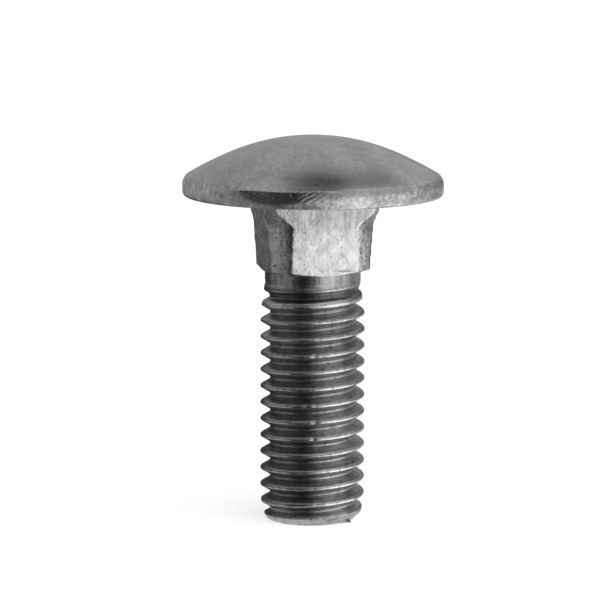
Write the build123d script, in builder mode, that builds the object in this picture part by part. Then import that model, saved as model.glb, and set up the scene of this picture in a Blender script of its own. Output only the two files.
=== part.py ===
# Carriage bolt with a cup head, a square neck and a rolled right-hand thread, forged as one piece.
# The origin is on the axis, in the flat bearing face under the head. The shank runs down, along -Z.
from build123d import *
import math
import os

# Head
head_diameter = 19.58
head_height = 4.48
rim_height = 1.38
rim_top_radius = 0.5
rim_bottom_radius = 0.36

# Square neck: drafted flats, and rounded corners that fill out to sharper edges under the head
neck_width = 8.4
neck_height = 5.35
neck_draft_angle = 4.4
corner_low_radius = 4.52
corner_mid_radius = 4.7
corner_top_radius = 5.75
arch_height = 2.2
shoulder_drop = 0.32

# Shank and thread: the thread runs out into the shank below the neck, which lies under the crests
bolt_length = 24.5
crest_diameter = 7.82
shank_drop = 0.31
thread_pitch = 1.25
thread_length = 17.95
crest_runout = 2.4
root_runout = 1.1

# End of the bolt: a long taper and a rounded edge
end_drop = 0.34
end_taper = 1.8
end_radius = 0.42

# Thread form, as shares of the pitch, and how much of a turn the groove has made at the end face
thread_depth_share = 0.54
root_flat_share = 0.2
thread_start_share = 0.12
flank_half_angle = 30

# How far a cutting tool reaches past the surface that it cuts
cut_overrun = 0.05

# Sizes and heights worked out from the values above
head_radius = head_diameter / 2
crest_radius = crest_diameter / 2
shank_radius = crest_radius - shank_drop
root_radius = crest_radius - thread_pitch * thread_depth_share
end_z = -bolt_length
neck_foot_z = -neck_height - shoulder_drop
runout_z = end_z + thread_length

# Cup head: a dome that passes level over the axis, a low rim with rounded edges, a flat underside
with BuildPart() as head:
    with BuildSketch(Plane.XZ) as head_section:
        with BuildLine():
            TangentArc((0, head_height), (head_radius, rim_height), tangent=(1, 0))
            Polyline((head_radius, rim_height), (head_radius, 0), (0, 0), (0, head_height))
        make_face()
        fillet(head_section.vertices().group_by(Axis.X)[-1].sort_by(Axis.Y)[-1], rim_top_radius)
        fillet(head_section.vertices().group_by(Axis.Y)[0].sort_by(Axis.X)[-1], rim_bottom_radius)
    revolve(axis=Axis.Z)

# Square neck: four drafted flats, and a round that trims their corners. The round swells under the
# head, which draws the arch on each flat, and slopes in at the foot.
with BuildPart() as neck:
    with BuildSketch(Plane.XY):
        Rectangle(neck_width, neck_width)
    extrude(amount=neck_foot_z)
    draft(neck.faces().filter_by(Axis.Z, reverse=True), Plane.XY, -neck_draft_angle)
    with BuildSketch(Plane.XZ):
        with BuildLine():
            Spline(
                (corner_top_radius, 0),
                (corner_mid_radius, -arch_height),
                tangents=((0, -1), (0, -1)),
            )
            Polyline(
                (corner_mid_radius, -arch_height),
                (corner_low_radius, -neck_height),
                (shank_radius, neck_foot_z),
                (0, neck_foot_z),
                (0, 0),
                (corner_top_radius, 0),
            )
        make_face()
    revolve(axis=Axis.Z, mode=Mode.INTERSECT)

# Thread groove: the axial thread form on a helix, one cut for each turn, of which the first enters
# below the end face. A cone takes the top away, so that the root rises to the shank over the last turn.
groove_reach = crest_radius + cut_overrun
root_half_flat = thread_pitch * root_flat_share / 2
mouth_half_width = root_half_flat + (groove_reach - root_radius) * math.tan(math.radians(flank_half_angle))
groove_start_z = end_z - thread_pitch * (1 - thread_start_share)
turn_count = math.ceil((runout_z + mouth_half_width - groove_start_z) / thread_pitch)
groove_top_z = groove_start_z + (turn_count + 1) * thread_pitch
runout_slope = root_runout / (shank_radius - root_radius)
cone_radius = groove_reach + cut_overrun

grooves = []
for turn in range(turn_count):
    turn_z = groove_start_z + turn * thread_pitch
    with BuildPart() as groove:
        with BuildLine() as helix:
            Helix(thread_pitch, thread_pitch, root_radius, center=(0, 0, turn_z))
        with BuildSketch(Plane.XZ):
            with BuildLine():
                Polyline(
                    (root_radius, turn_z - root_half_flat),
                    (groove_reach, turn_z - mouth_half_width),
                    (groove_reach, turn_z + mouth_half_width),
                    (root_radius, turn_z + root_half_flat),
                    close=True,
                )
            make_face()
        sweep(path=helix.wire(), is_frenet=True)
        with BuildSketch(Plane.YZ):
            with BuildLine():
                Polyline(
                    (0, runout_z - shank_radius * runout_slope),
                    (cone_radius, runout_z + (cone_radius - shank_radius) * runout_slope),
                    (cone_radius, groove_top_z),
                    (0, groove_top_z),
                    close=True,
                )
            make_face()
        revolve(axis=Axis.Z, mode=Mode.SUBTRACT)
    grooves.append(groove.part)

# The whole bolt: a shank with a tapered end and the groove rolled into it, the neck and the head in one piece
with BuildPart() as carriage_bolt:
    with BuildSketch(Plane.YZ) as stem_section:
        with BuildLine():
            Polyline(
                (0, neck_foot_z),
                (shank_radius, neck_foot_z),
                (shank_radius, runout_z),
                (crest_radius, runout_z - crest_runout),
                (crest_radius, end_z + end_taper),
                (crest_radius - end_drop, end_z),
                (0, end_z),
                close=True,
            )
        make_face()
        fillet(stem_section.vertices().group_by(Axis.Y)[0].sort_by(Axis.X)[-1], end_radius)
    revolve(axis=Axis.Z)
    for turn_cut in grooves:
        add(turn_cut, mode=Mode.SUBTRACT)
    add(neck.part)
    add(head.part)

carriage_bolt.part.label = "carriage_bolt"
os.makedirs("parts", exist_ok=True)
export_step(carriage_bolt.part, "parts/carriage_bolt.step")
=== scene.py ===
import math
import bpy
import numpy as np
from mathutils import Matrix, Vector


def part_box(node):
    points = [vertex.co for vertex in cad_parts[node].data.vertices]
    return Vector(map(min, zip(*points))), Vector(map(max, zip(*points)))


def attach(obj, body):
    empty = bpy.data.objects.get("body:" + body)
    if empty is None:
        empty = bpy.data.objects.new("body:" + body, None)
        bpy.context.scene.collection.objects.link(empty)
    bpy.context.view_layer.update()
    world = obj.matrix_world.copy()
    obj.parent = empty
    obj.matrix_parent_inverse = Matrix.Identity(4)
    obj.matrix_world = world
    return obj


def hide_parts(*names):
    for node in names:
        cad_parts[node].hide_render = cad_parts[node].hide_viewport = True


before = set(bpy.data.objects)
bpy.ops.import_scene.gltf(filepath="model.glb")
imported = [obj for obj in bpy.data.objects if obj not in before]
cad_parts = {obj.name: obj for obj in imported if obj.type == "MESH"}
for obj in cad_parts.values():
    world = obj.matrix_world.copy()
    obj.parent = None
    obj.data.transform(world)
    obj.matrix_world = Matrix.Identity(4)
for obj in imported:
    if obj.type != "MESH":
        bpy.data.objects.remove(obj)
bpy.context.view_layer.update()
mm = 0.001
boltLow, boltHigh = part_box("carriage_bolt")
print("frame loaded")

# The bolt's form, in millimetres from the bearing face under the head
bolt = {
    "headRadius": boltHigh.x / mm,
    "headHeight": boltHigh.z / mm,
    "domeSag": 0.11,
    "rimHeight": 1.38,
    "rimTopRound": 0.95,
    "rimBottomRound": 0.36,
    "neckWidth": 8.36,
    "neckDraft": math.radians(4.4),
    "neckHeight": 5.35,
    "shoulderDrop": 0.32,
    "cornerLow": 4.55,
    "cornerMid": 4.73,
    "cornerArch": 5.55,
    "cornerTop": 5.75,
    "archHeight": 2.05,
    "archTop": 0.7,
    "neckFillet": 0.16,
    "edgeRound": 0.03,
    "edgeWobble": 0.016,
    "collarZ": -6.05,
    "shankRadius": 3.6,
    "crestRadius": 3.925,
    "pitch": 1.25,
    "threadDepth": 0.73,
    "rootHalfFlat": 0.105,
    "flankSlope": 1 / math.tan(math.radians(30)),
    "grooveStart": 0.15,
    "runoutZ": -6.55,
    "crestRunout": 2.4,
    "rootRunout": 1.1,
    "crestRoundUp": 0.06,
    "crestRoundDown": 0.02,
    "rootRound": 0.035,
    "endZ": boltLow.z / mm,
    "endFaceRadius": 3.4,
    "endRound": 0.28,
    "endRoundHeight": 0.3,
    "endTaperShare": 0.14,
    "columns": 176,
    "flatColumnShare": 0.6,
    "rowsPerTurn": 22,
}
bolt["footZ"] = -bolt["neckHeight"] - bolt["shoulderDrop"]
bolt["rootRadius"] = bolt["crestRadius"] - bolt["threadDepth"]

# Unevenness and marks of the forging and rolling, and where painted shade, painted highlights and a painted
# dark reflection lie, in millimetres and radians. A pair tells where a mark starts to come or go, and where
# it has fully come or gone
marksAndPaintedLight = {
    "seed": 7,
    # head: inwards from the rim wall, heights above the bearing face, and angles from the patch or the
    # painted dark reflection
    "rimBand": (-0.36, -0.1),
    "rimTopEdge": (-0.1, 0.1),
    "rimWave": 0.025,
    "rimWaveLength": 1.5,
    "rimWaveHeights": (0.0, 0.3),
    "patchAngle": math.radians(-116.5),
    "patchSpread": math.radians(22),
    "patchSpreadShares": (0.9, 1.25),
    "patchDepth": 1.05,
    "patchLeastDepth": 0.3,
    "patchEdgeShares": (0.7, 1.15),
    "patchRound": 0.3,
    "patchSlant": 0.35,
    "streakPlaceShare": 0.5,
    "streakSpreadShare": 0.3,
    "streakHeights": (0.3, 0.8),
    # painted dark reflection on the dome: where it lies, how wide, and where it thins and ends
    "darkReflectionAngle": math.radians(-105),
    "darkReflectionRadius": 8.8,
    "darkReflectionWidth": 1.35,
    "darkReflectionHeights": (0.65, 1.2),
    "darkReflectionStart": (-0.36, 0.06),
    "darkReflectionThins": (0.1, 0.42),
    "darkReflectionEnds": (0.6, 0.9),
    # painted shade on the upper round of the rim, weaker away from one side
    "lipHeights": (0.75, 1.25),
    "lipStart": (-0.5, 0.1),
    "lipLeastShare": 0.35,
    # neck: angles and lengths inside the edge of a flat, heights, and depths below the head
    "neckDent": 0.03,
    "neckDentLength": 0.9,
    "neckDentDepths": (0.05, 0.4),
    "neckDentHeights": (0.05, 0.3),
    "flatEdge": (-0.03, 0.03),
    # painted highlight along the edges of the flats under the arches
    "edgeHighlightWidth": 0.06,
    "edgeHighlightHeights": (-3.2, -2.2),
    "brinkWidth": 0.5,
    "brinkDepths": (1.3, 1.9),
    "brinkFarShare": 0.25,
    "scarAngle": math.radians(-69),
    "scarSpread": 0.13,
    "scarZ": -5.28,
    "scarWidth": 0.035,
    # thread: lengths along the axis beside a crest or a groove, and depths below the runout
    # painted highlight on the crests, on a ridge near the runout and on the first turn
    "crestEdge": (-0.03, 0.02),
    "crestHalf": (-0.02, 0.03),
    "crestDepths": (0.6, 1.3),
    "ridgeInset": 0.02,
    "ridgeWidth": 0.05,
    "ridgeDepths": (0, 0.2),
    "firstCrestShare": 0.35,
    "firstCrestStart": (0.75, 1.15),
    "firstCrestEnd": (1.55, 1.95),
    "crestWave": 0.015,
    "crestWaveLength": 2.0,
    "rootEdge": (0.04, 0.12),
    "rootDepths": (0, 0.6),
    "collarEdge": (-0.15, 0.15),
    # painted shade in the first groove under the collar
    "grooveShadeStart": (0.05, 0.3),
    "grooveShadeEnd": (0.9, 1.5),
    "nickCount": 46,
    "nickTurns": 13,
    "nickDepth": 0.055,
    "nickWidth": 0.11,
    "seamAngle": math.radians(-99),
    "seamSpread": math.radians(4),
    # end: heights above the end face, and lengths and shares of the radius
    "tipEdge": (-0.06, -0.02),
    "tipHeights": (1.2, 1.6),
    "burrAngle": math.radians(-51),
    "burrReach": 0.42,
    "burrWidth": 0.5,
    "burrHeights": (0.04, 0.18),
    "burrShares": (0.89, 0.98),
    # notch where the groove leaves: a dent, painted dark as shade in the material
    "notchDepth": 0.16,
    "notchUp": 0.26,
    "notchWidth": 0.09,
}
touch = 1e-6  # heights nearer than this, in millimetres, are the same
weld = 1e-5  # points that round to the same multiple of this are merged


# Smaller or larger of two radii, with the crease rounded over by the log of summed exponentials
def softMin(a, b, roundness):
    return -roundness * np.logaddexp(-a / roundness, -b / roundness)


def softMax(a, b, roundness):
    return roundness * np.logaddexp(a / roundness, b / roundness)


# Smooth step from 0 at low to 1 at high
def ease(value, low, high):
    t = np.clip((value - low) / (high - low), 0, 1)
    return t * t * (3 - 2 * t)


# Bell curve: the exponential of minus the square of a value over a width
def bell(value, width):
    return np.exp(-((value / width) ** 2))


# Angle from a mark, wrapped to half a turn either way
def fromMark(angle, mark):
    return (angle - mark + math.pi) % (2 * math.pi) - math.pi


# Angle from the middle of the nearest flat of the neck, up to an eighth of a turn either way
def fromFlat(angle):
    return (angle + math.pi / 4) % (math.pi / 2) - math.pi / 4


# Points from their radius round the axis, angle and height
def toPoints(radius, angle, height):
    return np.stack([radius * np.cos(angle), radius * np.sin(angle), height], -1)


# Uneven field over points: plane waves of about one length, in seeded directions and phases, summed and
# scaled to about -1 to 1
def ripple(points, length, seed, waves=28):
    draw = np.random.default_rng(seed)
    direction = draw.normal(size=(waves, 3))
    direction /= np.linalg.norm(direction, axis=1, keepdims=True)
    speed = 2 * math.pi / (length * draw.uniform(0.6, 1.6, waves))
    phase = draw.uniform(0, 2 * math.pi, waves)
    return np.sin(points @ (direction * speed[:, None]).T + phase).sum(1) / math.sqrt(2 * waves)


# Cup head section from the crown to the underside: a dome arc that is level at the axis, a small round of
# the given radius tangent to the arc and the rim wall, the wall, and a round down to the bearing face. Dome
# and small round sag with the cube of the radius, fading out at the rim
def headSection(form, small):
    reach, top, rim = form["headRadius"], form["headHeight"], form["rimHeight"]
    domeRadius = (reach**2 + (top - rim) ** 2) / (2 * (top - rim))
    large = form["rimBottomRound"]
    tangent = math.asin((reach - small) / (domeRadius - small))
    smallZ = top - domeRadius + (domeRadius - small) * math.cos(tangent)
    dome = tangent * np.linspace(0, 1, 44)
    turn = np.linspace(tangent, math.pi / 2, 8)[1:]
    wall = np.linspace(smallZ, large, 7)[1:]
    under = np.linspace(math.pi / 2, math.pi, 10)[1:]
    radius = np.concatenate([
        domeRadius * np.sin(dome),
        reach - small + small * np.sin(turn),
        np.full(wall.size, reach),
        reach - large + large * np.sin(under),
    ])
    height = np.concatenate([
        top - domeRadius + domeRadius * np.cos(dome),
        smallZ + small * np.cos(turn),
        wall,
        large + large * np.cos(under),
    ])
    out = radius / reach
    sag = 5.4 * form["domeSag"] * out**3 * (1 - out**2)  # 5.4 makes domeSag the deepest sag
    return radius, np.where(height > smallZ, height - sag, height)


# Distance of the flats from the axis, and radius of the round that trims the corners, at a height on the
# neck. The round widens slowly up to the arch, in an S-curve over the arch, and a little more up to the
# head. Two sines make its edges wander
def neckReach(height, form):
    flat = form["neckWidth"] / 2 + height * math.tan(form["neckDraft"])
    middle = -form["archHeight"]
    slope = (form["cornerMid"] - form["cornerLow"]) / (form["neckHeight"] - form["archHeight"])
    swell = (form["cornerArch"] - form["cornerMid"]) * ease(height, middle, -form["archTop"])
    swell += (form["cornerTop"] - form["cornerArch"]) * ease(height, middle / 2, 0)
    wander = np.sin(7.6 * height + 1) + 0.7 * np.sin(13.4 * height + 2.2)
    swell += form["edgeWobble"] * wander * ease(-height, 0.1, 0.8)
    return flat, form["cornerMid"] + np.minimum(height - middle, 0) * slope + swell


# Column angles that follow the neck's edges: each flat and each corner keeps its own share of the columns,
# and they crowd towards the edge between the two
def neckAngles(height, form):
    flat, corner = neckReach(height, form)
    edge = np.minimum(np.arccos(np.clip(flat / corner, 0, 1)), math.radians(44))[:, None]
    turn = np.linspace(0, 4, form["columns"] + 1)[None, :]
    side = np.round(turn)
    place = 2 * np.abs(turn - side)
    onFlat = np.clip(place / form["flatColumnShare"], 0, 1)
    onCorner = np.clip((place - form["flatColumnShare"]) / (1 - form["flatColumnShare"]), 0, 1)
    angle = edge * (0.5 * onFlat + 0.5 * np.sin(onFlat * math.pi / 2))
    angle += (math.pi / 4 - edge) * (0.5 * onCorner + 0.5 * (1 - np.cos(onCorner * math.pi / 2)))
    return side * math.pi / 2 + np.sign(turn - side) * angle


# Neck radius: the nearer of the flat and the corner round, cut by the shoulder cone, and never under the
# shank. A quarter-circle fillet spreads it under the head
def neckRadius(angle, height, form):
    flat, corner = neckReach(height, form)
    radius = softMin(flat / np.cos(fromFlat(angle)), corner, form["edgeRound"])
    slope = (form["cornerLow"] - form["shankRadius"]) / form["shoulderDrop"]
    shoulder = form["cornerLow"] + (height + form["neckHeight"]) * slope
    radius = softMin(radius, shoulder, form["edgeRound"] / 2)
    radius = softMax(radius, form["shankRadius"] + 0 * radius, form["edgeRound"] / 2)
    fillet = form["neckFillet"]
    rise = np.clip(height + fillet, 0, fillet)
    return radius + fillet - np.sqrt(fillet**2 - rise**2)


# Turns of the helix up to a point, counted so that whole numbers lie in the middle of the groove
def helixTurns(angle, height, form):
    return (height - form["endZ"] - form["grooveStart"]) / form["pitch"] - angle / (2 * math.pi)


# Height above or below the middle of the nearest groove, and radius of the crests, which grows evenly from
# the shank's below the collar
def threadForm(angle, height, form):
    turns = helixTurns(angle, height, form)
    swell = np.clip((form["runoutZ"] - height) / form["crestRunout"], 0, 1)
    crest = form["shankRadius"] + (form["crestRadius"] - form["shankRadius"]) * swell
    return (turns - np.round(turns)) * form["pitch"], crest


# Blunted end of the bolt: the radius rises round the edge of the end face and then along a slight taper
def tipRadius(height, form):
    up = height - form["endZ"]
    edge = form["endRound"] * (1 - np.exp(-up / form["endRoundHeight"]))
    return form["endFaceRadius"] + edge + form["endTaperShare"] * up


# Thread radius: straight flanks between a rounded root and a crest with a crisp lower and a soft upper edge.
# Root and crest both run out into the shank at the top, and the end of the bolt is blunted
def threadRadius(angle, height, form):
    root = form["rootRadius"]
    offset, crest = threadForm(angle, height, form)
    flank = root + (np.abs(offset) - form["rootHalfFlat"]) * form["flankSlope"]
    rise = (form["runoutZ"] - height) * (form["shankRadius"] - root) / form["rootRunout"]
    floor = np.maximum(root, form["shankRadius"] - rise)
    upper = ease(helixTurns(angle, height, form) % 1, 0.44, 0.56)
    roundness = form["crestRoundDown"] + (form["crestRoundUp"] - form["crestRoundDown"]) * upper
    radius = softMin(softMax(flank, floor, form["rootRound"]), crest, roundness)
    return softMin(radius, tipRadius(height, form), form["crestRoundDown"])


# Rows of the head, the underside, the neck and the collar: one ring per row. The head blends two sections, a
# soft one and, round the pressed patch, one with a crisp rim edge. The columns turn to follow the edges of
# the neck
def upperRows(form, marks):
    even = np.linspace(0, 2 * math.pi, form["columns"] + 1)[None, :]
    softR, softZ = headSection(form, form["rimTopRound"])
    crispR, crispZ = headSection(form, marks["patchRound"])
    beside = np.abs(fromMark(even, marks["patchAngle"]))
    pressed = 1 - ease(beside / marks["patchSpread"], *marks["patchSpreadShares"])
    headR = softR[:, None] + (crispR - softR)[:, None] * pressed
    headZ = softZ[:, None] + (crispZ - softZ)[:, None] * pressed
    fillet = form["neckFillet"]
    archZ = -form["archHeight"]
    aboveZ = -form["neckHeight"] + 0.1  # rows crowd from here over the shoulder
    belowZ = form["footZ"] - 0.06
    neckZ = np.concatenate([
        -fillet * (1 - np.cos(np.linspace(0, math.pi / 2, 7))),
        np.linspace(-fillet, archZ, 18)[1:],
        np.linspace(archZ, aboveZ, 18)[1:],
        np.linspace(aboveZ, belowZ, 18)[1:],
    ])
    neckA = neckAngles(neckZ, form)
    neckR = neckRadius(neckA, neckZ[:, None], form)
    inward = np.linspace(0, 1, 9)[1:-1, None]
    underA = even + (neckA[:1] - even) * inward
    underR = headR[-1:] + (neckR[:1] - headR[-1:]) * inward
    collarZ = np.linspace(belowZ, form["collarZ"], 5)[1:, None]
    collarA = neckA[-1:] + (even - neckA[-1:]) * np.linspace(0, 1, 5)[1:, None]
    collarR = threadRadius(collarA, collarZ, form)
    wide = np.ones_like(even)
    radius = np.vstack([headR, underR, neckR, collarR])
    angle = np.vstack([even + 0 * headR, underA, neckA, collarA])
    height = np.vstack([headZ, 0 * underR, neckZ[:, None] * wide, collarZ * wide])
    return radius, angle, height


# Rows of the thread: each row climbs one pitch per turn, so that the crests and roots lie along rows. The
# rows are cut off level at the collar and at the end, and the end face is the last ring drawn in to the axis
def threadRows(form):
    even = np.linspace(0, 2 * math.pi, form["columns"] + 1)[None, :]
    count = form["rowsPerTurn"]
    share = np.arange(count) / count
    share = share - 0.45 * np.sin(4 * math.pi * share) / (4 * math.pi)  # rows crowd at root and crest
    turns = math.ceil((form["collarZ"] - form["endZ"]) / form["pitch"]) + 2
    start = form["endZ"] + form["grooveStart"] - 2 * form["pitch"]
    rise = start + form["pitch"] * (np.arange(turns + 1)[:, None] + share[None, :]).ravel()
    rise = rise[rise > form["endZ"] - form["pitch"] * 1.2][::-1, None]  # rows wholly below the end go
    height = np.clip(rise + form["pitch"] * even / (2 * math.pi), form["endZ"], form["collarZ"])
    angle = even + 0 * height
    radius = threadRadius(angle, height, form)
    ringShares = np.array([0.985, 0.9, 0.65, 0.35, 0])[:, None]
    endR = threadRadius(even, form["endZ"] + 0 * even, form) * ringShares
    radius = np.vstack([radius, endR])
    angle = np.vstack([angle, even + 0 * endR])
    height = np.vstack([height, form["endZ"] + 0 * endR])
    return radius, angle, height


# Nicks knocked into the crests: each is a small round dent, a third of them along one seam line, the rest
# anywhere. The depths of all bells at a point are summed
def nickField(angle, height, form, marks):
    draw = np.random.default_rng(marks["seed"])
    count = marks["nickCount"]
    seam = marks["seamAngle"] + marks["seamSpread"] * draw.normal(size=count)
    anywhere = draw.uniform(-math.pi, math.pi, count)
    place = np.where(np.arange(count) < count // 3, seam, anywhere) % (2 * math.pi)
    turn = draw.integers(0, marks["nickTurns"], count) + 0.5
    level = form["endZ"] + form["grooveStart"] + form["pitch"] * (turn + place / (2 * math.pi))
    depth = marks["nickDepth"] * draw.uniform(0.3, 1.2, count)
    width = marks["nickWidth"] * draw.uniform(0.6, 1.5, count)
    away = fromMark(angle[:, None], place)
    along = away * form["crestRadius"] / width
    across = (height[:, None] - level - form["pitch"] * away / (2 * math.pi)) / (1.4 * width)
    return (depth * np.exp(-(along**2) - across**2)).sum(1)


# How near a point is to the burr, round the end
def nearBurr(angle, form, marks):
    return bell(fromMark(angle, marks["burrAngle"]) * form["crestRadius"], marks["burrWidth"])


# Which points belong to the head, to the neck and to the thread with its collar and end
def findZones(radius, height, form):
    onHead = (height > 0) | ((height > -touch) & (radius > form["cornerTop"]))
    onNeck = ~onHead & (height > form["footZ"] - 0.03)
    return onHead, onNeck, ~onHead & ~onNeck


# Masks of the head, from 0 to 1: the rim wall, painted shade on its lip that is weaker away from one side,
# an oval pressed patch on it, slanted streaks beside the patch, and a painted dark reflection that is a bell
# across the radius and fades in and out round the dome
def headMasks(radius, angle, height, onHead, form, marks):
    rim = onHead * ease(radius - form["headRadius"], *marks["rimBand"])
    wall = rim * (1 - ease(height - form["rimHeight"], *marks["rimTopEdge"]))
    beside = fromMark(angle, marks["patchAngle"]) / marks["patchSpread"]
    depth = marks["patchDepth"] * (1 - marks["patchSlant"] * beside)
    below = (form["rimHeight"] - height) / np.maximum(depth, marks["patchLeastDepth"])
    patch = wall * (1 - ease(beside**2 + below**2, *marks["patchEdgeShares"]))
    streaky = wall * bell(beside - marks["streakPlaceShare"], marks["streakSpreadShare"])
    streaky *= ease(height, *marks["streakHeights"])
    spot = fromMark(angle, marks["darkReflectionAngle"])
    fade = 0.95 - 0.45 * ease(spot, *marks["darkReflectionThins"]) - 0.5 * ease(spot, *marks["darkReflectionEnds"])
    # Painted dark reflection on the dome: a bell across the radius that fades in and out round the dome
    paintedDarkReflection = onHead * bell(radius - marks["darkReflectionRadius"], marks["darkReflectionWidth"])
    paintedDarkReflection *= ease(height, *marks["darkReflectionHeights"]) * ease(spot, *marks["darkReflectionStart"]) * fade
    least = marks["lipLeastShare"]
    # Painted shade on the upper round of the rim, outside the patch, weaker away from one side
    paintedLipShade = rim * ease(height, *marks["lipHeights"]) * (1 - patch)
    paintedLipShade *= least + (1 - least) * ease(spot, *marks["lipStart"])
    return {"rim": rim, "paintedLipShade": paintedLipShade, "patch": patch, "streaky": streaky, "paintedDarkReflection": paintedDarkReflection}


# Masks of the neck, from 0 to 1: the flats, a painted highlight along the arches, the dark brink of the
# corners, stronger on one side of each flat, and a scratch at the foot
def neckMasks(radius, angle, height, onNeck, form, marks):
    flat, corner = neckReach(height, form)
    signed = fromFlat(angle)
    inside = np.arccos(np.clip(flat / corner, 0, 1)) - np.abs(signed)
    side = onNeck * ease(inside, *marks["flatEdge"])
    # Painted highlight along the edge of each flat, towards the head
    paintedEdgeHighlight = onNeck * bell(inside * radius - marks["edgeHighlightWidth"], marks["edgeHighlightWidth"])
    paintedEdgeHighlight *= ease(height, *marks["edgeHighlightHeights"])
    brink = onNeck * bell(inside * radius, marks["brinkWidth"]) * ease(-height, *marks["brinkDepths"])
    brink *= np.where(signed < 0, 1.0, marks["brinkFarShare"])
    beside = fromMark(angle, marks["scarAngle"]) / marks["scarSpread"]
    scar = onNeck * np.exp(-(beside**4)) * bell(height - marks["scarZ"], marks["scarWidth"])
    return {"side": side, "paintedEdgeHighlight": paintedEdgeHighlight, "brink": brink, "scar": scar}


# Masks of the thread, from 0 to 1: a painted highlight on the crests, along their lower edge and broadly on
# the first turn, roots, the plain collar, painted shade in the groove below it, the blunted tip, and the
# notch where the groove leaves
def threadMasks(radius, angle, height, onThread, form, marks):
    offset, crestReach = threadForm(angle, height, form)
    below = form["runoutZ"] - height
    up = height - form["endZ"]
    flankWidth = (crestReach - form["rootRadius"]) / form["flankSlope"]
    inset = np.abs(offset) - form["rootHalfFlat"] - flankWidth
    # Painted highlight: a thin ridge at the crest's lower edge near the runout, the lower edge of the crests
    # further down, and a broad band on the first turn
    ridge = bell(inset - marks["ridgeInset"], marks["ridgeWidth"]) * (offset > 0)
    ridge *= ease(below, *marks["ridgeDepths"])
    lower = (offset > 0) * ease(form["pitch"] / 2 - offset, *marks["crestHalf"])
    sharp = np.maximum(ease(below, *marks["crestDepths"]) * lower, ridge)
    broad = ease(below, *marks["firstCrestStart"]) * (1 - ease(below, *marks["firstCrestEnd"]))
    crest = onThread * ease(inset, *marks["crestEdge"])
    crest *= np.maximum(sharp, marks["firstCrestShare"] * broad)
    root = onThread * (1 - ease(np.abs(offset), *marks["rootEdge"])) * ease(below, *marks["rootDepths"])
    collar = onThread * ease(-below, *marks["collarEdge"])
    # Painted shade in the first groove below the collar
    paintedGrooveShade = onThread * ease(below, *marks["grooveShadeStart"]) * (1 - ease(below, *marks["grooveShadeEnd"]))
    tip = onThread * ease(radius - tipRadius(height, form), *marks["tipEdge"])
    tip *= 1 - ease(up, *marks["tipHeights"])
    notch = onThread * nearBurr(angle, form, marks) * bell(up - marks["notchUp"], marks["notchWidth"])
    return {"crest": crest, "root": root, "collar": collar, "paintedGrooveShade": paintedGrooveShade, "tip": tip, "notch": notch}


# Radius less the waves of rim, neck and crests, the nicks and the notch, plus the burr at the end. The rim's
# waves only go inwards, so that the bolt stays inside its box
def roughen(radius, angle, height, zones, masks, form, marks):
    onNeck, onThread = zones[1:]
    up = height - form["endZ"]
    point = toPoints(radius, angle, height)
    rimWave = ripple(point * [1, 1, 1.5], marks["rimWaveLength"], marks["seed"] + 1)
    neckDent = ripple(point, marks["neckDentLength"], marks["seed"] + 2)
    crestWave = ripple(point * [1, 1, 3], marks["crestWaveLength"], marks["seed"] + 3)
    rimFade = masks["rim"] * ease(height, *marks["rimWaveHeights"])
    neckFade = ease(-height, *marks["neckDentDepths"])
    neckFade *= ease(height - form["footZ"], *marks["neckDentHeights"])
    dent = marks["rimWave"] * rimFade * (1 + np.clip(rimWave, -1, 1))
    dent += marks["neckDent"] * onNeck * neckFade * neckDent
    dent += marks["crestWave"] * masks["crest"] * crestWave
    dent += onThread * nickField(angle, height, form, marks)
    dent += marks["notchDepth"] * masks["notch"]
    dent = np.where(up <= touch, 0, dent)
    faceReach = threadRadius(angle, form["endZ"] + 0 * angle, form)
    flake = onThread * nearBurr(angle, form, marks) * ease(radius / faceReach, *marks["burrShares"])
    flake *= 1 - ease(up, *marks["burrHeights"])
    return radius - dent + marks["burrReach"] * flake


# Faces of a grid: each cell joins a row with the next and a column with the next
def gridCells(rows, columns, first):
    index = first + np.arange(rows * columns).reshape(rows, columns)
    return np.stack([index[:-1, :-1], index[1:, :-1], index[1:, 1:], index[:-1, 1:]], -1).reshape(-1, 4)


# Closed mesh from cells: points that meet are merged, and cells that lose a corner become triangles. Also
# gives the points that were kept and three corners of each face
def closedMesh(name, point, cells):
    key = np.round(point / weld).astype(np.int64)
    _, kept, merged = np.unique(key, axis=0, return_index=True, return_inverse=True)
    cells = merged.ravel()[cells]
    doubled = cells == np.roll(cells, -1, axis=1)
    quads = cells[doubled.sum(1) == 0]
    cut = doubled.sum(1) == 1
    triangles = cells[cut][~doubled[cut]].reshape(-1, 3)
    mesh = bpy.data.meshes.new(name)
    mesh.from_pydata(point[kept] * mm, [], quads.tolist() + triangles.tolist())
    mesh.polygons.foreach_set("use_smooth", np.ones(len(mesh.polygons), bool))
    return mesh, kept, np.concatenate([quads[:, :3], triangles])


# One number for each point of a mesh, for its material to read
def storeMask(mesh, name, value):
    data = mesh.attributes.new(name, "FLOAT", "POINT").data
    data.foreach_set("value", value.astype(np.float32).ravel())


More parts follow.
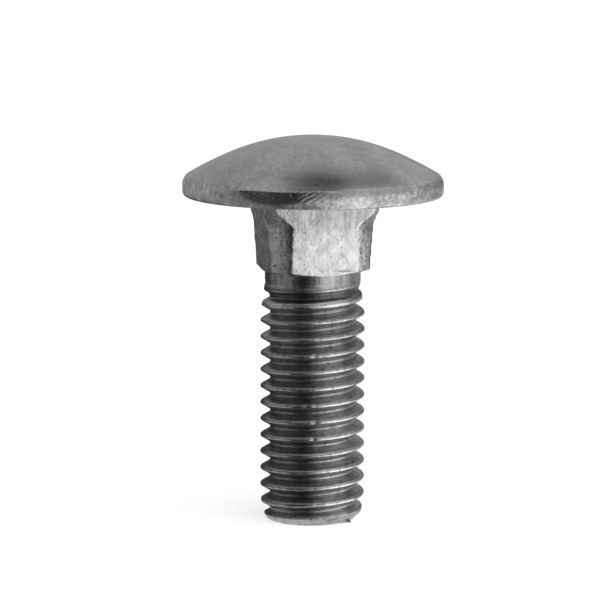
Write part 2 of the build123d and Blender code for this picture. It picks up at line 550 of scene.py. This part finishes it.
# The bolt as one closed surface of two grids, with its masks, and a trace that follows the thread: height
# across the groove, and two values that change slowly along the helix
def makeBolt(form, marks):
    upper, lower = upperRows(form, marks), threadRows(form)
    cells = [gridCells(*upper[0].shape, 0), gridCells(*lower[0].shape, upper[0].size)]
    radius, angle, height = [np.concatenate([a.ravel(), b.ravel()]) for a, b in zip(upper, lower)]
    angle = angle % (2 * math.pi)
    zones = findZones(radius, height, form)
    onHead, onNeck, onThread = zones
    masks = headMasks(radius, angle, height, onHead, form, marks)
    masks.update(neckMasks(radius, angle, height, onNeck, form, marks))
    masks.update(threadMasks(radius, angle, height, onThread, form, marks))
    radius = roughen(radius, angle, height, zones, masks, form, marks)
    point = toPoints(radius, angle, height)
    mesh, kept, corners = closedMesh("carriageBolt", point, np.concatenate(cells))

    zone = np.select([onHead, onNeck, height - form["endZ"] > touch], [0, 1, 2], 3)[kept]
    mesh.polygons.foreach_set("material_index", np.median(zone[corners], axis=1).astype(np.int32))
    for name, value in masks.items():
        storeMask(mesh, name, value[kept])
    offset = threadForm(angle, height, form)[0]
    trace = np.stack([offset, np.cos(angle) + 0.37 * height, np.sin(angle)], -1)[kept]
    data = mesh.attributes.new("trace", "FLOAT_VECTOR", "POINT").data
    data.foreach_set("vector", trace.astype(np.float32).ravel())
    mesh.update()
    piece = bpy.data.objects.new("carriageBolt", mesh)
    bpy.context.scene.collection.objects.link(piece)
    triangleCount = len(mesh.loops) - 2 * len(mesh.polygons)
    print("bolt surface:", len(mesh.vertices), "points,", triangleCount, "triangles")
    return piece


# Puts values into a node's inputs: a socket is linked, anything else is set
def fillInputs(tree, node, values):
    for name, value in values.items():
        if isinstance(value, bpy.types.NodeSocket):
            tree.links.new(value, node.inputs[name])
        else:
            node.inputs[name].default_value = value


# Small helpers for shader trees, each of which gives a node or its value
def addNode(tree, kind, values=None, **settings):
    node = tree.nodes.new("ShaderNode" + kind)
    for name, value in settings.items():
        setattr(node, name, value)
    fillInputs(tree, node, values or {})
    return node


def calc(tree, operation, a, b=0.0, clamp=False):
    return addNode(tree, "Math", {0: a, 1: b}, operation=operation, use_clamp=clamp).outputs[0]


def plus(tree, a, b):
    return calc(tree, "ADD", a, b)


def minus(tree, a, b):
    return calc(tree, "SUBTRACT", a, b)


def times(tree, a, b):
    return calc(tree, "MULTIPLY", a, b)


def spread(tree, value, low, high, toLow=0.0, toHigh=1.0):
    values = {"Value": value, "From Min": low, "From Max": high, "To Min": toLow, "To Max": toHigh}
    return addNode(tree, "MapRange", values, interpolation_type="SMOOTHSTEP").outputs[0]


def mixValue(tree, factor, a, b):
    return addNode(tree, "Mix", {0: factor, 2: a, 3: b}).outputs[0]


def noiseValue(tree, place, scale, detail, roughness=0.5):
    values = {"Vector": place, "Scale": scale, "Detail": detail, "Roughness": roughness}
    return addNode(tree, "TexNoise", values).outputs["Fac"]


def mask(tree, name):
    return addNode(tree, "Attribute", attribute_name=name).outputs["Fac"]


# A value times one plus a tone that swings about zero
def toned(tree, value, tone):
    return times(tree, value, plus(tree, 1.0, tone))


# A group with named number inputs and outputs; build(tree, inputs) returns the output values by name
def makeGroup(name, inputs, outputs, build):
    group = bpy.data.node_groups.new(name, "ShaderNodeTree")
    for label, value in inputs.items():
        socket = group.interface.new_socket(label, in_out="INPUT", socket_type="NodeSocketFloat")
        socket.default_value = value
    for label in outputs:
        group.interface.new_socket(label, in_out="OUTPUT", socket_type="NodeSocketFloat")
    entry = group.nodes.new("NodeGroupInput")
    leave = group.nodes.new("NodeGroupOutput")
    fillInputs(group, leave, build(group, entry.outputs))
    return group


def useGroup(tree, group, values):
    node = tree.nodes.new("ShaderNodeGroup")
    node.node_tree = group
    fillInputs(tree, node, values)
    return node.outputs


# Forged skin: cloudy tone at two sizes, and pits where a fine noise runs high. Sizes are features per metre
def forgedSkin(tree, given):
    place = addNode(tree, "TexCoord").outputs["Object"]
    cloud = noiseValue(tree, place, given["Clouds"], 4.0, 0.6)
    grain = noiseValue(tree, place, given["Grain"], 3.0, 0.65)
    pits = spread(tree, noiseValue(tree, place, given["Pits"], 2.0), 0.53, 0.7)
    tone = minus(tree, plus(tree, cloud, grain), 1.0)
    height = minus(tree, grain, times(tree, pits, 0.6))
    return {"Tone": tone, "Pits": pits, "Height": height}


# Drawn streaks: noise pulled out along the axis, as the punch leaves it on the neck and the collar
def drawnStreaks(tree, given):
    place = addNode(tree, "TexCoord").outputs["Object"]
    pulled = addNode(tree, "Mapping", {"Vector": place, "Scale": (1, 1, 0.06)}).outputs[0]
    height = noiseValue(tree, pulled, given["Lines"], 4.0, 0.7)
    return {"Tone": minus(tree, height, 0.5), "Height": height}


# Slanted streaks: waves round the axis that lean with height and are bent by noise, as the die leaves them
# on the rim
def slantedStreaks(tree, given):
    place = addNode(tree, "TexCoord").outputs["Object"]
    apart = addNode(tree, "SeparateXYZ", {0: place}).outputs
    bend = times(tree, noiseValue(tree, place, 900.0, 2.0), 3.0)
    turn = times(tree, calc(tree, "ARCTAN2", apart["Y"], apart["X"]), given["Count"])
    lean = times(tree, apart["Z"], given["Lean"])
    return {"Tone": calc(tree, "SINE", plus(tree, minus(tree, turn, lean), bend))}


# Rolling lines: noise that changes fast across the thread form and slowly along the helix
def rollingLines(tree, given):
    trace = addNode(tree, "Attribute", attribute_name="trace").outputs["Vector"]
    across = addNode(tree, "VectorMath", {0: trace, 1: (11, 0.7, 0.7)}, operation="MULTIPLY").outputs[0]
    height = noiseValue(tree, across, given["Lines"], 5.0, 0.7)
    return {"Tone": minus(tree, height, 0.5), "Height": height}


skinSizes = {"Clouds": 400, "Grain": 3000, "Pits": 2500}
skinGroup = makeGroup("forgedSkin", skinSizes, ["Tone", "Pits", "Height"], forgedSkin)
streakGroup = makeGroup("drawnStreaks", {"Lines": 3000}, ["Tone", "Height"], drawnStreaks)
slantGroup = makeGroup("slantedStreaks", {"Count": 104, "Lean": 20000}, ["Tone"], slantedStreaks)
rollGroup = makeGroup("rollingLines", {"Lines": 1}, ["Tone", "Height"], rollingLines)


# The forged skin with a finish's own sizes
def skinOf(tree, look):
    values = {"Clouds": look["clouds"], "Grain": look["grain"], "Pits": look["pits"]}
    return useGroup(tree, skinGroup, values)


# A steel material: metal whose grey, roughness and relief come from the given function
def steel(name, build):
    material = bpy.data.materials.new(name)
    material.use_nodes = True
    tree = material.node_tree
    shader = tree.nodes["Principled BSDF"]
    shader.inputs["Metallic"].default_value = 1.0
    grey, rough, height, look = build(tree)
    colour = addNode(tree, "CombineColor", {0: grey, 1: grey, 2: grey}).outputs[0]
    tree.links.new(colour, shader.inputs["Base Color"])
    tree.links.new(rough, shader.inputs["Roughness"])
    values = {"Height": height, "Strength": look["strength"], "Distance": look["distance"]}
    relief = addNode(tree, "Bump", values)
    tree.links.new(relief.outputs["Normal"], shader.inputs["Normal"])
    return material


headFinish = {
    "grey": 0.5, "rimGrey": 0.66, "lipShade": 0.58, "patchGrey": 0.6,
    "streakGrey": 0.18, "pitGrey": 0.27, "darkReflectionGrey": 0.09,
    "clouds": 420.0, "grain": 2900.0, "pits": 2400.0,
    "streaks": 104.0, "streakLean": 20000.0, "streakTones": (-0.4, 0.4),
    "tone": 0.9, "rimTone": 1.5, "darkReflectionTone": 0.7, "pitShare": 0.12, "rimPitShare": 0.5,
    "rough": 0.36, "rimRough": 0.52, "patchRough": 0.24, "roughTone": 0.15,
    "domeRelief": 0.2, "rimRelief": 1.0, "strength": 0.45, "distance": 0.00005,
}


# Forged head: fine-grained dome, a paler pitted rim with painted shade on its lip, the smooth patch, streaks
# and a painted dark reflection on the dome
def headSteel(tree):
    look = headFinish
    skin = skinOf(tree, look)
    slant = useGroup(tree, slantGroup, {"Count": look["streaks"], "Lean": look["streakLean"]})
    rim, patch = mask(tree, "rim"), mask(tree, "patch")
    streak = times(tree, spread(tree, slant["Tone"], *look["streakTones"]), mask(tree, "streaky"))
    grey = mixValue(tree, rim, look["grey"], look["rimGrey"])
    # Painted shade on the upper round of the rim, which dims its highlight there
    grey = times(tree, grey, mixValue(tree, mask(tree, "paintedLipShade"), 1.0, look["lipShade"]))
    grey = toned(tree, grey, times(tree, skin["Tone"], mixValue(tree, rim, look["tone"], look["rimTone"])))
    pits = times(tree, skin["Pits"], mixValue(tree, rim, look["pitShare"], look["rimPitShare"]))
    grey = mixValue(tree, pits, grey, look["pitGrey"])
    grey = mixValue(tree, patch, grey, look["patchGrey"])
    grey = mixValue(tree, streak, grey, look["streakGrey"])
    # Painted dark reflection on the dome, broken up by the cloudy tone
    cloudy = plus(tree, 1.0, times(tree, skin["Tone"], look["darkReflectionTone"]))
    paintedDarkReflection = calc(tree, "MULTIPLY", mask(tree, "paintedDarkReflection"), cloudy, clamp=True)
    grey = mixValue(tree, paintedDarkReflection, grey, look["darkReflectionGrey"])
    rough = mixValue(tree, rim, look["rough"], look["rimRough"])
    rough = mixValue(tree, patch, rough, look["patchRough"])
    rough = plus(tree, rough, times(tree, skin["Tone"], look["roughTone"]))
    height = times(tree, skin["Height"], mixValue(tree, rim, look["domeRelief"], look["rimRelief"]))
    return grey, rough, height, look


neckFinish = {
    "grey": 0.82, "cornerGrey": 0.8, "pitGrey": 0.12, "edgeHighlightGrey": 1.0, "blotchGrey": 0.05,
    "clouds": 800.0, "grain": 4200.0, "pits": 3600.0, "streaks": 3000.0,
    "tone": 0.7, "cornerTone": 1.6, "pitShare": 0.13, "cornerPitShare": 0.75,
    "shadeAndStreakFrom": -0.0034, "shadeAndStreakTo": -0.0012, "underHeadShade": 0.7,
    "streakToneLow": 0.3, "streakToneHigh": 1.6, "streakRelief": 0.5,
    "blotchTones": (-0.2, 0.12), "edgeHighlightTones": (-0.25, 0.08),
    "rough": 0.36, "roughTone": 0.2, "strength": 0.5, "distance": 0.00004,
}


# Pressed neck: bright flats and pitted corners, streaked and with painted shade towards the head, with
# blotches at the brink, a scratch, and a painted highlight along the arches
def neckSteel(tree):
    look = neckFinish
    skin = skinOf(tree, look)
    streak = useGroup(tree, streakGroup, {"Lines": look["streaks"]})
    side = mask(tree, "side")
    place = addNode(tree, "SeparateXYZ", {0: addNode(tree, "TexCoord").outputs["Object"]})
    # Band towards the head, which sets both the painted shade under the head and how strong the streaks are
    drawn = spread(tree, place.outputs["Z"], look["shadeAndStreakFrom"], look["shadeAndStreakTo"])
    grey = mixValue(tree, side, look["cornerGrey"], look["grey"])
    # Painted shade under the head
    grey = times(tree, grey, mixValue(tree, drawn, 1.0, look["underHeadShade"]))
    strength = mixValue(tree, drawn, look["streakToneLow"], look["streakToneHigh"])
    streaks = times(tree, streak["Tone"], strength)
    clouds = times(tree, skin["Tone"], mixValue(tree, side, look["cornerTone"], look["tone"]))
    grey = toned(tree, grey, plus(tree, clouds, streaks))
    pits = times(tree, skin["Pits"], mixValue(tree, side, look["cornerPitShare"], look["pitShare"]))
    grey = mixValue(tree, pits, grey, look["pitGrey"])
    brink = times(tree, mask(tree, "brink"), minus(tree, 1.0, side))
    blotch = times(tree, spread(tree, skin["Tone"], *look["blotchTones"]), brink)
    grey = mixValue(tree, calc(tree, "MAXIMUM", blotch, mask(tree, "scar")), grey, look["blotchGrey"])
    # Painted highlight along the arches
    paintedEdgeHighlight = times(tree, mask(tree, "paintedEdgeHighlight"), spread(tree, skin["Tone"], *look["edgeHighlightTones"]))
    grey = mixValue(tree, paintedEdgeHighlight, grey, look["edgeHighlightGrey"])
    rough = plus(tree, look["rough"], times(tree, skin["Tone"], look["roughTone"]))
    height = plus(tree, skin["Height"], times(tree, streak["Height"], look["streakRelief"]))
    return grey, rough, height, look


threadFinish = {
    "grey": 0.36, "rootHighlightGrey": 0.38, "grooveShadeGrey": 0.17, "collarGrey": 0.42, "crestHighlightGrey": 0.95,
    "tipGrey": 0.36, "pitGrey": 0.1, "notchShadeGrey": 0.04,
    "clouds": 500.0, "grain": 2800.0, "pits": 2600.0, "rolls": 1.0, "streaks": 1400.0,
    "tone": 0.8, "rollTone": 2.2, "streakTone": 2.0, "pitShare": 0.5,
    "rough": 0.33, "crestRough": 0.22, "collarRough": 0.2, "tipRough": 0.42, "roughTone": 0.15,
    "skinRelief": 0.6, "strength": 0.45, "distance": 0.00003,
}


# Rolled thread: dark flanks with rolling lines, a painted highlight on the crests, roots painted a little
# lighter, painted shade in the groove under a streaked collar and in the notch, and a matt tip
def threadSteel(tree):
    look = threadFinish
    skin = skinOf(tree, look)
    roll = useGroup(tree, rollGroup, {"Lines": look["rolls"]})
    streak = useGroup(tree, streakGroup, {"Lines": look["streaks"]})
    crest, collar, tip = mask(tree, "crest"), mask(tree, "collar"), mask(tree, "tip")
    # Roots painted a little lighter, as a painted highlight
    grey = mixValue(tree, mask(tree, "root"), look["grey"], look["rootHighlightGrey"])
    # Painted shade in the first groove under the collar
    grey = mixValue(tree, mask(tree, "paintedGrooveShade"), grey, look["grooveShadeGrey"])
    grey = mixValue(tree, collar, grey, look["collarGrey"])
    # Painted highlight on the crests
    grey = mixValue(tree, crest, grey, look["crestHighlightGrey"])
    grey = mixValue(tree, tip, grey, look["tipGrey"])
    rolled = times(tree, roll["Tone"], look["rollTone"])
    drawn = times(tree, streak["Tone"], look["streakTone"])
    lines = mixValue(tree, collar, rolled, drawn)
    grey = toned(tree, grey, plus(tree, times(tree, skin["Tone"], look["tone"]), lines))
    grey = mixValue(tree, times(tree, skin["Pits"], look["pitShare"]), grey, look["pitGrey"])
    # Painted shade in the notch where the groove leaves
    grey = mixValue(tree, mask(tree, "notch"), grey, look["notchShadeGrey"])
    rough = mixValue(tree, crest, look["rough"], look["crestRough"])
    rough = mixValue(tree, collar, rough, look["collarRough"])
    rough = mixValue(tree, tip, rough, look["tipRough"])
    rough = plus(tree, rough, times(tree, roll["Tone"], look["roughTone"]))
    height = plus(tree, times(tree, skin["Height"], look["skinRelief"]), roll["Height"])
    return grey, rough, height, look


endFinish = {
    "grey": 0.55, "clouds": 600.0, "grain": 2400.0, "pits": 1800.0, "tone": 0.5,
    "rough": 0.42, "roughTone": 0.2, "strength": 0.5, "distance": 0.00006,
}


# Sheared end: an even, coarse-grained grey
def endSteel(tree):
    look = endFinish
    skin = skinOf(tree, look)
    grey = toned(tree, look["grey"], times(tree, skin["Tone"], look["tone"]))
    rough = plus(tree, look["rough"], times(tree, skin["Tone"], look["roughTone"]))
    return grey, rough, skin["Height"], look


piece = makeBolt(bolt, marksAndPaintedLight)
steels = {"headSteel": headSteel, "neckSteel": neckSteel, "threadSteel": threadSteel, "endSteel": endSteel}
for name, build in steels.items():
    piece.data.materials.append(steel(name, build))
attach(piece, "root")
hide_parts("carriage_bolt")
print("bolt finished")

view = {
    "azimuth": math.radians(-13.7),
    "elevation": math.radians(8.4),
    "distance": 0.243,
    "targetHeight": -0.007922,
    "sideStep": 0.000952,
    "lens": 194.12,
    "sensor": 36.0,
    "roll": math.radians(-0.157),
}


# Direction at some degrees to the right of the camera and above the horizon, seen from the bolt
def toward(degrees, rise=0.0):
    turn = view["azimuth"] + math.radians(degrees)
    lift = math.radians(rise)
    return Vector((math.sin(turn) * math.cos(lift), -math.cos(turn) * math.cos(lift), math.sin(lift)))


# Reflector: its sizes are in metres, its levels in millimetres, and where a tone starts or ends is in
# degrees to the right of the camera
reflector = {
    "inner": 0.0046,
    "outer": 0.034,
    "top": 0.008,
    "lift": 0.00005,
    "leftFoot": 0.25,
    "leftWaist": 0.22,
    "leftTop": 0.42,
    "footLevels": [-17, -12],
    "backShade": 0.75,
    "backFrom": [105, 125],
    "backDepths": [3, 5],
    "sideLevels": [-9, -2],
    "darkGrey": [0.015, 0.035],
    "rightGrey": [0.42, 0.2],
    "whiteLevels": [-16, -11, -2.4, -1],
    "whiteGrey": [1.35, 1, 1.1, 0.5],
    "bandLevels": [-12, -9, -5.5, -2],
    "darkFrom": [-46, -46, -28, -67],
    "darkEdge": 4,
    "lightFrom": [-12, 8, -16, -11],
    "lightTo": [50, 26, 10, 14],
    "rightLevels": [-5, -3],
    "rightFrom": [80, 66],
    "rightEdge": 14,
}


# Grey of the reflector by direction and height: grey on the left, a dark band in front that fades out to the
# right, white on the right, and grey again behind. Values between two levels lie on a straight line
def reflectorGrey(degrees, height):
    look = reflector
    level = height / mm
    left = look["leftFoot"] + (look["leftWaist"] - look["leftFoot"]) * ease(level, *look["footLevels"])
    left = left + (look["leftTop"] - left) * ease(level, *look["sideLevels"])
    behind = ease(-degrees, *look["backFrom"]) * ease(-level, *look["backDepths"])
    left = left * (1 - look["backShade"] * behind)
    dark = np.interp(level, look["sideLevels"], look["darkGrey"])
    right = np.interp(level, look["sideLevels"], look["rightGrey"])
    white = np.interp(level, look["whiteLevels"], look["whiteGrey"])
    darkFrom = np.interp(level, look["bandLevels"], look["darkFrom"])
    lightFrom = np.interp(level, look["bandLevels"], look["lightFrom"])
    lightTo = np.interp(level, look["bandLevels"], look["lightTo"])
    rightFrom = np.interp(level, look["rightLevels"], look["rightFrom"])
    grey = left + (dark - left) * ease(degrees, darkFrom - look["darkEdge"], darkFrom + look["darkEdge"])
    grey = grey + (white - grey) * ease(degrees, lightFrom, lightTo)
    return grey + (right - grey) * ease(degrees, rightFrom, rightFrom + look["rightEdge"])


# Reflector round the bolt like a dish: flat on the floor at its foot and upright at its rim, as its height
# grows with a higher power than its reach. It is seen only in the metal
def makeReflector():
    look = reflector
    degrees = np.linspace(-188, 172, 181)[None, :]
    turn = view["azimuth"] + np.radians(degrees)
    share = np.linspace(0, 1, 41)[:, None]
    reach = look["inner"] + (look["outer"] - look["inner"]) * share**0.8
    rise = boltLow.z + look["lift"] + (look["top"] - boltLow.z) * share**2.2 + 0 * turn
    place = np.stack([reach * np.sin(turn), -reach * np.cos(turn), rise], -1).reshape(-1, 3)
    mesh = bpy.data.meshes.new("reflector")
    mesh.from_pydata(place, [], gridCells(share.size, turn.size, 0).tolist())
    storeMask(mesh, "grey", reflectorGrey(degrees, rise))
    material = bpy.data.materials.new("reflector")
    material.use_nodes = True
    tree = material.node_tree
    tree.nodes.clear()
    light = addNode(tree, "Emission", {"Strength": mask(tree, "grey")})
    tree.links.new(light.outputs[0], addNode(tree, "OutputMaterial").inputs["Surface"])
    mesh.materials.append(material)
    dish = bpy.data.objects.new("reflector", mesh)
    bpy.context.scene.collection.objects.link(dish)
    dish.visible_camera = False
    dish.visible_diffuse = False
    dish.visible_shadow = False


groundFinish = {"size": 4.0, "grey": 0.72, "lift": 0.64, "rough": 0.9}


# Floor: one matt, pale square, lifted to white where the camera or the metal sees it, so that only the
# shadow shows on it
def makeFloor():
    look = groundFinish
    half = look["size"] / 2
    mesh = bpy.data.meshes.new("floor")
    corners = [(-half, -half), (half, -half), (half, half), (-half, half)]
    mesh.from_pydata([(x, y, boltLow.z) for x, y in corners], [], [(0, 1, 2, 3)])
    material = bpy.data.materials.new("paleFloor")
    material.use_nodes = True
    tree = material.node_tree
    shader = tree.nodes["Principled BSDF"]
    shader.inputs["Base Color"].default_value = (look["grey"],) * 3 + (1,)
    shader.inputs["Roughness"].default_value = look["rough"]
    shader.inputs["Specular IOR Level"].default_value = 0.0
    ray = addNode(tree, "LightPath").outputs
    seen = calc(tree, "MAXIMUM", ray["Is Camera Ray"], ray["Is Glossy Ray"])
    seen = calc(tree, "MAXIMUM", seen, ray["Is Transmission Ray"])
    shader.inputs["Emission Color"].default_value = (1, 1, 1, 1)
    tree.links.new(times(tree, seen, look["lift"]), shader.inputs["Emission Strength"])
    mesh.materials.append(material)
    floor = bpy.data.objects.new("floor", mesh)
    bpy.context.scene.collection.objects.link(floor)


keyLamp = {"turn": 52, "rise": 30, "distance": 0.6, "size": 0.8, "power": 1.8, "aimHeight": -0.008}


# Soft lamp: a square area light at a turn from the camera, a rise and a distance, aimed at the bolt
def makeLamp(name, given):
    data = bpy.data.lights.new(name, "AREA")
    data.energy = given["power"]
    data.size = given["size"]
    lamp = bpy.data.objects.new(name, data)
    aim = toward(given["turn"], given["rise"])
    lamp.location = Vector((0, 0, given["aimHeight"])) + aim * given["distance"]
    lamp.rotation_euler = aim.to_track_quat("Z", "Y").to_euler()
    lamp.visible_camera = False
    bpy.context.scene.collection.objects.link(lamp)


skyGrey = {"left": 0.39, "right": 0.6}


# Sky: an even grey that is lighter on the right of the camera than on the left
def makeWorld():
    world = bpy.data.worlds.new("studio")
    world.use_nodes = True
    tree = world.node_tree
    values = {0: addNode(tree, "TexCoord").outputs["Generated"], 1: toward(90)}
    side = addNode(tree, "VectorMath", values, operation="DOT_PRODUCT").outputs["Value"]
    grey = spread(tree, side, -1, 1, skyGrey["left"], skyGrey["right"])
    tree.links.new(grey, tree.nodes["Background"].inputs["Color"])
    bpy.context.scene.world = world


makeFloor()
makeReflector()
makeLamp("keySoftbox", keyLamp)
makeWorld()
print("stage and lamps set")


# Camera: looks at a point beside the axis from the given turn and rise, then rolls a little about its own
# line of sight
def makeCamera():
    back = toward(0, math.degrees(view["elevation"]))
    right = Vector((math.cos(view["azimuth"]), math.sin(view["azimuth"]), 0))
    up = back.cross(right)
    c, s = math.cos(view["roll"]), math.sin(view["roll"])
    target = Vector((0, 0, view["targetHeight"])) - right * view["sideStep"]
    data = bpy.data.cameras.new("camera")
    data.lens = view["lens"]
    data.sensor_width = view["sensor"]
    data.clip_start = 0.01
    data.clip_end = 20.0
    camera = bpy.data.objects.new("camera", data)
    turned = Matrix((right * c - up * s, right * s + up * c, back)).transposed().to_4x4()
    turned.translation = target + back * view["distance"]
    camera.matrix_world = turned
    bpy.context.scene.collection.objects.link(camera)
    bpy.context.scene.camera = camera


makeCamera()
bpy.context.scene.view_settings.view_transform = "Standard"
print("camera set")
